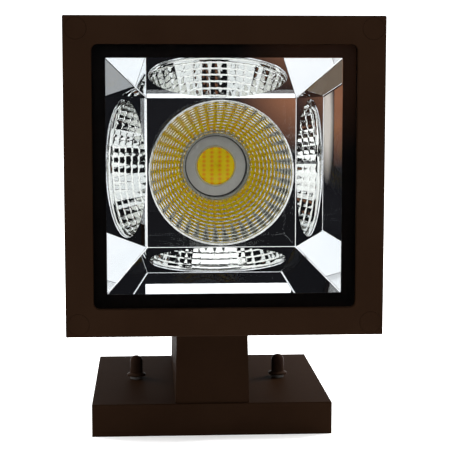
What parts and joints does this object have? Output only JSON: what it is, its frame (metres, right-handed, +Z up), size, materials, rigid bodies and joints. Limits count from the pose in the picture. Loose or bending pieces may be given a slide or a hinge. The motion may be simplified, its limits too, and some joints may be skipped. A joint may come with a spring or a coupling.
{
  "type": "bollard light",
  "caption": "Square-section canopy light: a faceted reflector cup in a mirrored square cone behind glass at each end of its body, on a rectangular neck and a square canopy.",
  "frame": {"origin": "centre of the canopy's underside, on the surface that the light stands on", "axes": "+Z up, -Y out of the front lit face, +X to the right seen from the front"},
  "size_m": [0.125, 0.326, 0.193],
  "materials": {
    "bronze_paint": "satin powder coat, dark bronze",
    "bronze_hardware": "satin dark bronze",
    "black_rubber": "matte",
    "zinc_steel": "zinc plated",
    "soft_seal": "matte",
    "terminal_plastic": "moulded",
    "clear_glass": "clear, with a black printed border",
    "mirror_sheet": "polished",
    "cup_metal": "bright faceted",
    "board_ceramic": "satin grey",
    "phosphor_gel": "silicone over phosphor",
    "holder_plastic": "moulded white",
    "thermal_silicone": "matte",
    "raw_aluminium": "extruded",
    "driver_plastic": "moulded white",
    "circuit_board": "solder mask",
    "lead_red": "insulation",
    "lead_black": "insulation",
    "lead_white": "insulation",
    "lead_green": "insulation"
  },
  "bodies": {
    "light": {"canopy": "bronze_paint", "canopy_gasket": "black_rubber", "mounting_plate": "zinc_steel", "mounting_studs": "zinc_steel", "stud_lock_nuts": "zinc_steel", "ground_screw": "zinc_steel", "terminal_block": "terminal_plastic", "neck": "bronze_paint", "neck_foot_gasket": "black_rubber", "neck_top_gasket": "black_rubber", "neck_bolts": "zinc_steel", "housing_bolts": "zinc_steel", "wire_grommets": "black_rubber", "supply_lead_live": "lead_black", "supply_lead_neutral": "lead_white", "supply_lead_ground": "lead_green", "housing_tube": "bronze_paint", "corner_blocks": "raw_aluminium", "driver_bracket": "zinc_steel", "bracket_screws": "zinc_steel", "driver_case": "driver_plastic", "driver_lid": "driver_plastic", "driver_board": "circuit_board", "driver_screws": "zinc_steel", "front_frame": "bronze_paint", "front_frame_screws": "zinc_steel", "front_screw_plugs": "bronze_paint", "front_glass": "clear_glass", "front_glass_gasket": "black_rubber", "front_mirror_cone": "mirror_sheet", "front_cup_reflector": "cup_metal", "front_led_board": "board_ceramic", "front_phosphor": "phosphor_gel", "front_led_holder": "holder_plastic", "front_holder_screws": "zinc_steel", "front_thermal_pad": "thermal_silicone", "front_heat_sink": "raw_aluminium", "front_pillars": "raw_aluminium", "front_pillar_nuts": "zinc_steel", "front_led_leads": "lead_red", "rear_frame": "bronze_paint", "rear_frame_screws": "zinc_steel", "rear_screw_plugs": "bronze_paint", "rear_glass": "clear_glass", "rear_glass_gasket": "black_rubber", "rear_mirror_cone": "mirror_sheet", "rear_cup_reflector": "cup_metal", "rear_led_board": "board_ceramic", "rear_phosphor": "phosphor_gel", "rear_led_holder": "holder_plastic", "rear_holder_screws": "zinc_steel", "rear_thermal_pad": "thermal_silicone", "rear_heat_sink": "raw_aluminium", "rear_pillars": "raw_aluminium", "rear_pillar_nuts": "zinc_steel", "rear_led_leads": "lead_red"},
    "left_seal": {"seal_washer_left": "soft_seal"},
    "left_nut": {"cap_nut_left": "bronze_hardware"},
    "right_seal": {"seal_washer_right": "soft_seal"},
    "right_nut": {"cap_nut_right": "bronze_hardware"}
  },
  "joints": [
    {"name": "left_nut_lift", "type": "slide", "parent": "light", "child": "left_seal", "axis": [0, 0, 1], "range_m": [0, 0.0056]},
    {"name": "left_nut_turn", "type": "hinge", "parent": "left_seal", "child": "left_nut", "pos_m": [-0.0365, 0, 0.0155], "axis": [0, 0, 1], "range_deg": [0, 2881]},
    {"name": "right_nut_lift", "type": "slide", "parent": "light", "child": "right_seal", "axis": [0, 0, 1], "range_m": [0, 0.0056]},
    {"name": "right_nut_turn", "type": "hinge", "parent": "right_seal", "child": "right_nut", "pos_m": [0.0365, 0, 0.0155], "axis": [0, 0, 1], "range_deg": [0, 2881]}
  ],
  "couplings": [
    {"joint": "left_nut_turn", "follows": "left_nut_lift", "rad_per_m": 8976},
    {"joint": "right_nut_turn", "follows": "right_nut_lift", "rad_per_m": 8976}
  ]
}
